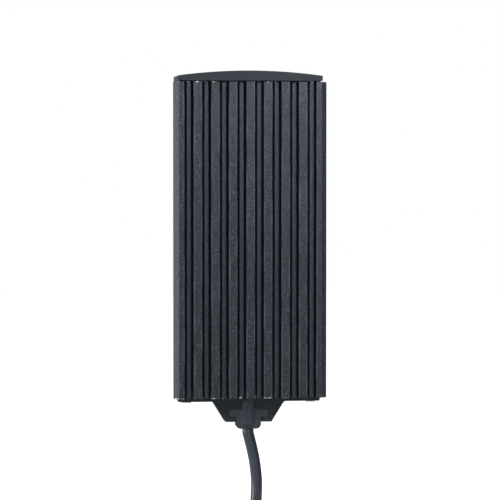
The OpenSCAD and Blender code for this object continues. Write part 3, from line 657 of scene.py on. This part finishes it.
def make_edge_group():
    """Front edges of a row of fins along X, partly worn and partly a painted highlight, as a mask
    that noise breaks up.
    """
    helper, group = shader_group(
        "worn_fin_edges",
        {"Pitch": FIN_PITCH, "Width": FIN_WIDTH, "Tip": FIN_TIP_Y, "Reach": 0.0007}, ("Mask",))
    out = group.outputs
    parts = helper.split(out["Vector"])
    turn = helper.math("DIVIDE", parts["X"], out["Pitch"])
    whole = helper.math("ROUND", turn)
    offset = helper.math("ABSOLUTE", helper.minus(turn, whole))
    across = helper.times(offset, out["Pitch"])
    from_edge = helper.math("ABSOLUTE", helper.minus(across, helper.times(out["Width"], 0.5)))
    behind_tip = helper.minus(parts["Y"], out["Tip"])
    away = helper.math("DIVIDE", helper.plus(from_edge, behind_tip), out["Reach"])
    near = helper.minus(1.0, away, True)
    limit, gain, strength = 0.4, 4.0, 0.7
    noise = helper.noise(helper.drawn_out(out["Vector"], 0.15), 500.0, 2.0)
    broken = helper.times(helper.minus(noise, limit), gain, True)
    faint = helper.times(broken, strength)
    helper.node("NodeGroupOutput", {"Mask": helper.times(near, faint)})
    return helper.tree


GROUPS = {}


def group_node(helper, name, vector, **values):
    """A node of one of the shared shader groups with its own values."""
    makers = {"grain": make_grain_group, "clouds": make_cloud_group, "lines": make_line_group,
              "sawn": make_sawn_group, "edges": make_edge_group}
    if name not in GROUPS:
        GROUPS[name] = makers[name]()
    made = helper.node("ShaderNodeGroup", node_tree=GROUPS[name])
    helper.feed(made.inputs["Vector"], vector)
    for label, value in values.items():
        helper.feed(made.inputs[label.replace("_", " ")], value)
    return made.outputs


# Materials

def tinted(helper, colour, *tones):
    """A colour made lighter and darker by tone factors."""
    tone = tones[0]
    for other in tones[1:]:
        tone = helper.times(tone, other)
    made = helper.node("ShaderNodeVectorMath", operation="SCALE")
    made.inputs[0].default_value = colour
    helper.feed(made.inputs["Scale"], tone)
    return made.outputs["Vector"]


def mixed(helper, share, a, b):
    """Two colours mixed by a share."""
    made = helper.node("ShaderNodeMix", data_type="RGBA")
    sockets = [s for s in made.inputs if s.enabled]
    for socket, value in zip(sockets, (share, a, b)):
        helper.feed(socket, value)
    return next(s for s in made.outputs if s.enabled)


def between(helper, share, a, b):
    """Two values mixed by a share."""
    return helper.plus(a, helper.times(share, helper.minus(b, a)))


def new_material(name):
    """A new material, its helper, its Principled shader and its object coordinates."""
    material = bpy.data.materials.new(name)
    material.use_nodes = True
    helper = Tree(material.node_tree)
    shader = next(n for n in material.node_tree.nodes if n.type == "BSDF_PRINCIPLED")
    coords = helper.node("ShaderNodeTexCoord").outputs["Object"]
    return material, helper, shader, coords


def bumped(helper, shader, height, distance):
    """Joins a height to a shader's normal."""
    bump = helper.node("ShaderNodeBump", {
        "Height": height, "Distance": distance, "Strength": 1.0})
    helper.tree.links.new(bump.outputs["Normal"], shader.inputs["Normal"])


def make_extrusion(colours):
    """Dark anodised, fine-blasted aluminium with chipped sawn ends, painted glints, and fin edges
    that are partly worn and partly a painted highlight.
    """
    material, helper, shader, coords = new_material("anodised_extrusion")
    grain = group_node(helper, "grain", coords, Grain=0.0006, Strength=5.0)
    patches = group_node(helper, "clouds", coords, Patch=0.028, Strength=0.3)
    lines = group_node(helper, "lines", coords, Pitch=0.0007, Strength=0.35)
    bare = group_node(helper, "sawn", coords)["Mask"]
    dark = tinted(helper, colours.extrusion, grain["Tone"], patches["Tone"], lines["Tone"])
    # Fin edges lightened, partly as wear and partly as a painted highlight
    painted_highlight_and_worn = group_node(helper, "edges", coords)["Mask"]
    # Painted glints and the fin edges' painted highlight and wear take the pale colour
    pale = helper.math("MAXIMUM", grain["Sparks"], painted_highlight_and_worn)
    speckled = mixed(helper, pale, dark, (*colours.painted_glints, 1.0))
    helper.feed(shader.inputs["Base Color"], mixed(
        helper, bare, speckled, (*colours.bare_metal, 1.0)))
    shader.inputs["Specular Tint"].default_value = (0.88, 0.93, 1.0, 1.0)
    coat_rough, bare_rough = 0.42, 0.34
    rough = helper.times(patches["Tone"], coat_rough)
    helper.feed(shader.inputs["Roughness"], between(helper, bare, rough, bare_rough))
    helper.feed(shader.inputs["Metallic"], bare)
    bumped(helper, shader, grain["Height"], 0.0002)
    return material


def make_moulding(name, colour, roughness, grain=0.0005, depth=0.00004, gloss=0.5):
    """Fine-textured moulded plastic."""
    material, helper, shader, coords = new_material(name)
    shader.inputs["Specular IOR Level"].default_value = gloss
    texture = group_node(helper, "grain", coords, Grain=grain, Strength=0.6)
    patches = group_node(helper, "clouds", coords, Patch=0.02, Strength=0.18)
    helper.feed(shader.inputs["Base Color"], tinted(
        helper, colour, texture["Tone"], patches["Tone"]))
    helper.feed(shader.inputs["Roughness"], helper.times(patches["Tone"], roughness))
    bumped(helper, shader, texture["Height"], depth)
    return material


def make_metal(name, colour, roughness, pitch=0.0003):
    """Drawn, rolled or plated metal."""
    material, helper, shader, coords = new_material(name)
    lines = group_node(helper, "lines", coords, Pitch=pitch, Strength=0.4)
    patches = group_node(helper, "clouds", coords, Patch=0.008, Strength=0.35)
    helper.feed(shader.inputs["Base Color"], tinted(
        helper, colour, lines["Tone"], patches["Tone"]))
    helper.feed(shader.inputs["Roughness"], helper.times(patches["Tone"], roughness))
    shader.inputs["Metallic"].default_value = 1.0
    bumped(helper, shader, lines["Height"], 0.00001)
    return material


def make_striped(name, colour, stripe):
    """Two-coloured insulation, its stripe along the core and turning with it."""
    material, helper, shader, coords = new_material(name)
    along = helper.node("ShaderNodeUVMap", uv_map="along").outputs["UV"]
    parts = helper.split(along)
    twist, sharpness, balance = 0.4, 9.0, 0.8
    turned = helper.plus(parts["Y"], helper.times(parts["X"], twist))
    wave = helper.math("SINE", helper.times(turned, 2 * math.pi))
    share = helper.plus(helper.times(wave, sharpness), balance, True)
    patches = group_node(helper, "clouds", coords, Patch=0.006, Strength=0.2)
    helper.feed(shader.inputs["Base Color"], mixed(
        helper, share, tinted(helper, colour, patches["Tone"]),
        tinted(helper, stripe, patches["Tone"])))
    helper.feed(shader.inputs["Roughness"], helper.times(patches["Tone"], 0.4))
    return material


def make_materials(colours):
    """All the heater's materials by their plain names."""
    return {
        "extrusion": make_extrusion(colours),
        "caps": make_moulding("cap_moulding", colours.caps, 0.6, gloss=0.22),
        # Lighter copy of the cap plastic: painted light for the shaded lower cap
        "foot": make_moulding("foot_moulding", colours.foot, 0.6, gloss=0.22),
        "relief": make_moulding("relief_moulding", colours.relief, 0.45),
        # Black rubber, darkened further as painted shade for the gap line under the top cap
        "gasket": make_moulding("gasket_rubber", (0.004, 0.004, 0.005), 0.8, gloss=0.1),
        "sheath": make_moulding("lead_sheath", colours.sheath, 0.19, 0.0008, 0.00002, gloss=0.7),
        "tie": make_moulding("tie_nylon", (0.015, 0.015, 0.017), 0.38, 0.001, 0.00001),
        "live": make_moulding("live_insulation", colours.live, 0.4, 0.0012, 0.00001),
        "neutral": make_moulding("neutral_insulation", colours.neutral, 0.4, 0.0012, 0.00001),
        "earth": make_striped("earth_insulation", colours.earth, colours.earth_stripe),
        "film": make_moulding("sleeve_film", (0.42, 0.19, 0.03), 0.3),
        "stone": make_moulding("stone_ceramic", (0.22, 0.24, 0.26), 0.6, 0.0008),
        "collar": make_moulding("ferrule_collar", (0.5, 0.5, 0.48), 0.45, 0.001, 0.00001),
        "zinc": make_metal("zinc_plated_steel", colours.zinc, 0.34),
        "spring": make_metal("spring_strip", (0.5, 0.5, 0.5), 0.3),
        "tin": make_metal("tinned_copper", (0.66, 0.66, 0.64), 0.3),
        "brass": make_metal("rolled_brass", (0.66, 0.47, 0.2), 0.32),
    }


MATERIALS = {}


def finished(name):
    """One of the heater's materials."""
    if not MATERIALS:
        MATERIALS.update(make_materials(bpy.context.scene.heater_finish))
    return MATERIALS[name]


def place(obj, slot, *nodes):
    """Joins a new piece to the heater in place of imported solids."""
    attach(obj, BODY)
    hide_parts(*nodes)
    return obj


# The lead's line

def coil_points(lead, centre, start_y):
    """The turns of the coil from its right side, downwards first, with a step to each new layer."""
    points = []
    per_turn = 48
    for i in range(1, lead.turns * per_turn + 1):
        turn, part = divmod(360 * i / per_turn, 360)
        t = min(max((part - CROSSING[0]) / (CROSSING[1] - CROSSING[0]), 0), 1)
        layer = turn + t * t * (3 - 2 * t)
        angle = math.radians(-part)
        points.append(Vector((
            centre.x + lead.coil_radius * math.cos(angle),
            start_y + lead.turn_pitch * layer,
            centre.z + lead.coil_radius * math.sin(angle))))
    return points


def lead_path(lead):
    """The whole line of the lead, from its exit to the end of its sheath."""
    route = [EXIT + Vector((x, 0, z)) * MM for x, z in LEAD_ROUTE]
    path = smooth_path(route, 3)
    entry = path[-1]
    centre = entry - Vector((lead.coil_radius, 0, 0))
    path += coil_points(lead, centre, entry.y)
    steps = 8
    end = path[-1].copy()
    path += [end - Vector((0, 0, lead.tail * k / steps)) for k in range(1, steps + 1)]
    return path


def core_starts(lead):
    """Where the three cores leave the sheath, and which way they spread."""
    end = lead_path(lead)[-1]
    starts = []
    for name, angle in CORES.items():
        way = Vector((math.cos(math.radians(angle)), math.sin(math.radians(angle)), 0))
        starts.append((name, end + way * CORE_RING, way * lead.core_spread))
    return starts


class HEATER_OT_stage(bpy.types.Operator):
    """Makes the floor, the backdrop, the lamps and the camera"""

    bl_idname = "heater.stage"
    bl_label = "Stage"

    def execute(self, context):
        stage = context.scene.heater_stage
        context.scene.view_settings.view_transform = "Standard"
        self.make_floor()
        self.make_world(context.scene, stage)
        middle = (BODY_LOW + BODY_HIGH) / 2
        for name, (azimuth, elevation, distance, size, power) in LAMPS.items():
            self.make_lamp(
                name, middle, azimuth, elevation, distance, size, getattr(stage, power))
        self.make_camera(context.scene, stage)
        return {"FINISHED"}

    def make_floor(self):
        """A wide pale floor that shows white and still takes the heater's shadow."""
        mesh = bpy.data.meshes.new("floor")
        reach, z = FLOOR_REACH, CAD_BOX[0][2] - FLOOR_GAP
        mesh.from_pydata(
            [(-reach, -reach, z), (reach, -reach, z), (reach, reach, z), (-reach, reach, z)], [],
            [(0, 1, 2, 3)])
        material, helper, shader, coords = new_material("pale_floor")
        plain = {"Base Color": (0.7, 0.7, 0.7, 1.0), "Roughness": 0.9, "Specular IOR Level": 0.0,
                 "Emission Color": (1.0, 1.0, 1.0, 1.0)}
        for label, value in plain.items():
            shader.inputs[label].default_value = value
        away = helper.node("ShaderNodeVectorMath", {0: coords}, operation="LENGTH").outputs["Value"]
        fade_gain, fade_start = 1.6, 0.75
        far = helper.minus(helper.times(away, fade_gain), fade_start, True)
        rearward = helper.split(coords)["Y"]
        behind = helper.minus(rearward, MIRRORED_FROM, True)
        glow = between(helper, far, NEAR_GLOW, 1.0)
        helper.feed(shader.inputs["Emission Strength"], helper.times(
            self.seen(helper, behind), glow))
        new_object("floor", mesh, material)

    def seen(self, helper, behind):
        """1 for rays that show the background, straight or mirrored from behind the heater."""
        rays = helper.node("ShaderNodeLightPath").outputs
        mirrored = helper.math("MAXIMUM", rays["Is Glossy Ray"], rays["Is Transmission Ray"])
        return helper.math("MAXIMUM", rays["Is Camera Ray"], helper.times(mirrored, behind))

    def make_world(self, scene, stage):
        """A white background with a weaker light from all sides and a dim room in front."""
        world = bpy.data.worlds.new("studio")
        scene.world = world
        world.use_nodes = True
        helper = Tree(world.node_tree)
        background = next(n for n in world.node_tree.nodes if n.type == "BACKGROUND")
        background.inputs["Color"].default_value = (1.0, 1.0, 1.0, 1.0)
        way = helper.node("ShaderNodeTexCoord").outputs["Generated"]
        rearward = helper.split(way)["Y"]
        edge_gain, edge_start = 40.0, 38.8
        behind = helper.minus(helper.times(rearward, edge_gain), edge_start, True)
        helper.feed(background.inputs["Strength"], between(
            helper, self.seen(helper, behind), stage.surround, 1.0))

    def make_lamp(self, name, aim, azimuth, elevation, distance, size, power):
        """A rectangular softbox that points at the heater."""
        light = bpy.data.lights.new(name, "AREA")
        light.shape = "RECTANGLE"
        light.size, light.size_y = size
        light.energy = power
        light.color = LAMP_COLOUR
        lamp = bpy.data.objects.new(name, light)
        bpy.context.scene.collection.objects.link(lamp)
        way = self.direction(math.radians(azimuth), math.radians(elevation))
        lamp.location = aim + way * distance
        lamp.rotation_euler = way.to_track_quat("Z", "Y").to_euler()

    def make_camera(self, scene, stage):
        """The photograph's view: nearly straight on, a little from the left and from above."""
        data = bpy.data.cameras.new("camera")
        data.sensor_fit = "HORIZONTAL"
        data.sensor_width = 36.0
        data.lens = data.sensor_width * stage.distance / stage.view_width
        camera = bpy.data.objects.new("camera", data)
        scene.collection.objects.link(camera)
        way = self.direction(stage.azimuth, stage.elevation)
        camera.location = Vector(stage.aim) + way * stage.distance
        camera.rotation_euler = way.to_track_quat("Z", "Y").to_euler()
        scene.camera = camera

    def direction(self, azimuth, elevation):
        """From the heater towards a point in front of it, turned by azimuth and elevation."""
        flat = math.cos(elevation)
        return Vector((math.sin(azimuth) * flat, -math.cos(azimuth) * flat, math.sin(elevation)))


class HEATER_OT_lead(bpy.types.Operator):
    """Makes the supply lead with its stored coil, tie, bared cores and ferrules"""

    bl_idname = "heater.lead"
    bl_label = "Supply lead"

    def execute(self, context):
        lead = context.scene.heater_lead
        parts = context.scene.heater_fastenings
        path = lead_path(lead)
        mesh = tube_mesh("lead", path, lead.diameter / 2, 24, lead.ripple, lead.lay)
        cable = new_object("lead", mesh, finished("sheath"))
        place(cable, "lead_sheath", "supply_cord", "cord_coil")
        on_lead = self.make_cores(lead)
        on_lead.append(self.make_ferrules(lead, parts))
        on_lead += self.make_tie(lead, parts)
        return {"FINISHED"}

    def make_cores(self, lead):
        """The three insulated cores at the lead's end."""
        made = []
        down = Vector((0, 0, -1))
        whole, straight = lead.core_length, 1.5 * MM
        for name, start, spread in core_starts(lead):
            end = start + spread
            line = smooth_path([
                start, start + down * straight, start + spread / 3 + down * (whole / 3),
                end + down * (2 * whole / 3), end + down * (whole - straight), end + down * whole], 6)
            mesh = tube_mesh(name + "_core", line, lead.core_diameter / 2, 16, lay=0.03)
            core = new_object(name + "_core", mesh, finished(name))
            made.append(place(core, name + "_insulation", name + "_core_end"))
        return made

    def make_ferrules(self, lead, parts):
        """Crimped ferrules on the cores' ends."""
        down = Vector((0, 0, -lead.core_length))
        ends = [start + spread + down for _, start, spread in core_starts(lead)]
        ferrules = new_object("ferrules", points_mesh("ferrules", ends))
        grow(ferrules, ferrule_tree("crimped_ferrules", finished("tin"), finished("collar")), {
            "Collar Radius": parts.collar / 2, "Collar Length": parts.collar_length,
            "Pin Radius": parts.pin / 2, "Pin Length": parts.pin_length, "Dent Pitch": 0.0013})
        return place(ferrules, "ferrule_tin", "core_ferrules")

    def make_tie(self, lead, parts):
        """The tie's strap round both turns, its ratchet head and its cut end."""
        low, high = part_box("cord_tie")
        middle = (low + high) / 2
        t, w = parts.strap_thickness, parts.strap_width
        half_x, half_y = (high.x - low.x) / 2 - t / 2, (high.y - low.y) / 2 - t / 2
        corner = lead.diameter / 2 + t / 2
        line = []
        for quarter in range(4):
            sx, sy = ((1, 1), (-1, 1), (-1, -1), (1, -1))[quarter]
            centre = Vector((sx * (half_x - corner), sy * (half_y - corner), 0))
            for k in range(9):
                angle = math.radians(90 * quarter + 90 * k / 8)
                line.append(middle + centre + corner * Vector((math.cos(angle), math.sin(angle), 0)))
        strap = new_object("tie_strap", self.strap_mesh(line, t, w), finished("tie"))
        place(strap, "tie_plastic", "cord_tie")
        head = new_object("tie_head", self.head_mesh(low, middle, t, w), finished("tie"))
        teeth_at = [Vector((low.x + t * 0.1, middle.y + w * 0.72 + TOOTH_PITCH * k, middle.z))
                    for k in range(TEETH)]
        teeth = new_object("tie_teeth", points_mesh("tie_teeth", teeth_at))
        grow(teeth, teeth_tree("ratchet_teeth", finished("tie")), {
            "Tooth Length": 0.00035, "Tooth Height": 0.0005, "Tooth Width": w * 0.55})
        for piece in (head, teeth):
            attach(piece, BODY)
        return [strap, head, teeth]

    def strap_mesh(self, line, t, w):
        """A closed band of thickness t and width w along a flat loop, with softened edges."""
        soft = t * 0.25
        section = [(-t / 2, soft - w / 2), (soft - t / 2, -w / 2), (t / 2 - soft, -w / 2),
                   (t / 2, soft - w / 2), (t / 2, w / 2 - soft), (t / 2 - soft, w / 2),
                   (soft - t / 2, w / 2), (-t / 2, w / 2 - soft)]
        bm = bmesh.new()
        count = len(line)
        rings = []
        for i, point in enumerate(line):
            ahead = (line[(i + 1) % count] - line[i - 1]).normalized()
            out = Vector((ahead.y, -ahead.x, 0))
            rings.append([bm.verts.new(point + out * a + Vector((0, 0, b))) for a, b in section])
        for i in range(count):
            here, there = rings[i], rings[(i + 1) % count]
            for k in range(len(section)):
                n = (k + 1) % len(section)
                bm.faces.new((here[k], here[n], there[n], there[k]))
        bmesh.ops.recalc_face_normals(bm, faces=bm.faces)
        return mesh_from(bm, "tie_strap", 50)

    def head_mesh(self, low, middle, t, w):
        """The ratchet head on the strap's outer side, with chamfered edges and a short end."""
        bm = bmesh.new()
        centre = Vector((low.x - TIE_HEAD.x / 2 + t * 0.9, middle.y, middle.z))
        add_block(bm, centre, TIE_HEAD, chamfer=0.0005, segments=2)
        stub = Vector((t * 0.8, TIE_END, w * 0.94))
        overlap = 0.0006
        at = Vector((low.x + t * 0.1 - stub.x / 2,
                     middle.y + TIE_HEAD.y / 2 + stub.y / 2 - overlap, middle.z))
        add_block(bm, at, stub, chamfer=0.0002, segments=1)
        return mesh_from(bm, "tie_head", 35)


class HEATER_OT_screws(bpy.types.Operator):
    """Makes the screws of both caps and of the rail clip"""

    bl_idname = "heater.screws"
    bl_label = "Screws"

    def execute(self, context):
        parts = context.scene.heater_fastenings
        sizes = {
            "Head Radius": parts.cap_head / 2, "Head Height": parts.cap_head_height,
            "Shank Radius": parts.cap_shank / 2, "Shank Length": parts.cap_length,
            "Cross Length": parts.cross, "Cross Width": parts.cross_width,
            "Cross Depth": parts.cross_depth}
        self.make_cap_set("top_cap_screw_set", "top_cap_screws", sizes, True)
        self.make_cap_set("bottom_cap_screw_set", "bottom_cap_screws", sizes, False)
        self.make_clip_set(sizes)
        return {"FINISHED"}

    def make_cap_set(self, name, node, sizes, faces_up):
        """Four screws in the corners of the box of a packed set of cap screws."""
        low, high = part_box(node)
        r, head = sizes["Head Radius"], sizes["Head Height"]
        seat = high.z - head if faces_up else low.z + head
        turn = (0.0 if faces_up else math.pi, 0.0, 0.0)
        points = [Vector((x, y, seat)) for x in (low.x + r, high.x - r)
                  for y in (low.y + r, high.y - r)]
        screws = new_object(name, points_mesh(name, points))
        grow(screws, screw_tree(name, finished("zinc"), turn, False), sizes)
        place(screws, "screw_steel", node)

    def make_clip_set(self, sizes):
        """The two countersunk screws that hold the rail clip, a little below its face."""
        low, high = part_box("clip_screws")
        depth = -BODY_HIGH.y
        r = (high.z - low.z) / 2
        sunk = 0.0001
        points = [Vector((x, high.y - depth - sunk, 0)) for x in (low.x + r, high.x - r)]
        screws = new_object("clip_screw_set", points_mesh("clip_screw_set", points))
        own = dict(sizes)
        own.update({
            "Head Radius": r - sunk, "Head Height": depth, "Shank Radius": r - depth,
            "Shank Length": high.y - low.y - depth - sunk})
        tree = screw_tree("clip_screw_set", finished("zinc"), (-math.pi / 2, 0.0, 0.0), True)
        grow(screws, tree, own)
        place(screws, "screw_steel", "clip_screws")


class HEATER_OT_finish(bpy.types.Operator):
    """Gives the extrusion, the caps, the clip and the inner parts their finishes"""

    bl_idname = "heater.finish"
    bl_label = "Finishes"

    def execute(self, context):
        for material, nodes in FINISHES.items():
            for node in nodes:
                slots = NODES[node].data.materials
                slots.clear()
                slots.append(finished(material))
        return {"FINISHED"}


class HEATER_PT_panel(bpy.types.Panel):
    """Lists the heater's pieces and their settings"""

    bl_idname = "HEATER_PT_panel"
    bl_label = "Enclosure heater"
    bl_space_type = "VIEW_3D"
    bl_region_type = "UI"
    bl_category = "Heater"

    def draw(self, context):
        for operator in OPERATORS:
            self.layout.operator(operator.bl_idname)
        for name in GROUPED:
            box = self.layout.box()
            settings = getattr(context.scene, name)
            for key in settings.__annotations__:
                box.prop(settings, key)


OPERATORS = (HEATER_OT_stage, HEATER_OT_lead, HEATER_OT_screws, HEATER_OT_finish)
GROUPED = {
    "heater_lead": HeaterLead, "heater_fastenings": HeaterFastenings,
    "heater_finish": HeaterFinish, "heater_stage": HeaterStage,
}
CLASSES = (*GROUPED.values(), *OPERATORS, HEATER_PT_panel)


def register():
    """Registers the classes and puts their settings on the scene."""
    for cls in CLASSES:
        bpy.utils.register_class(cls)
    for name, group in GROUPED.items():
        setattr(bpy.types.Scene, name, PointerProperty(type=group))


def unregister():
    """Takes the settings and the classes away again."""
    for name in GROUPED:
        delattr(bpy.types.Scene, name)
    for cls in reversed(CLASSES):
        bpy.utils.unregister_class(cls)


def main():
    """Makes the heater's pieces and the stage."""
    register()
    bpy.ops.heater.stage()
    bpy.ops.heater.lead()
    bpy.ops.heater.screws()
    bpy.ops.heater.finish()


if __name__ == "__main__":
    main()
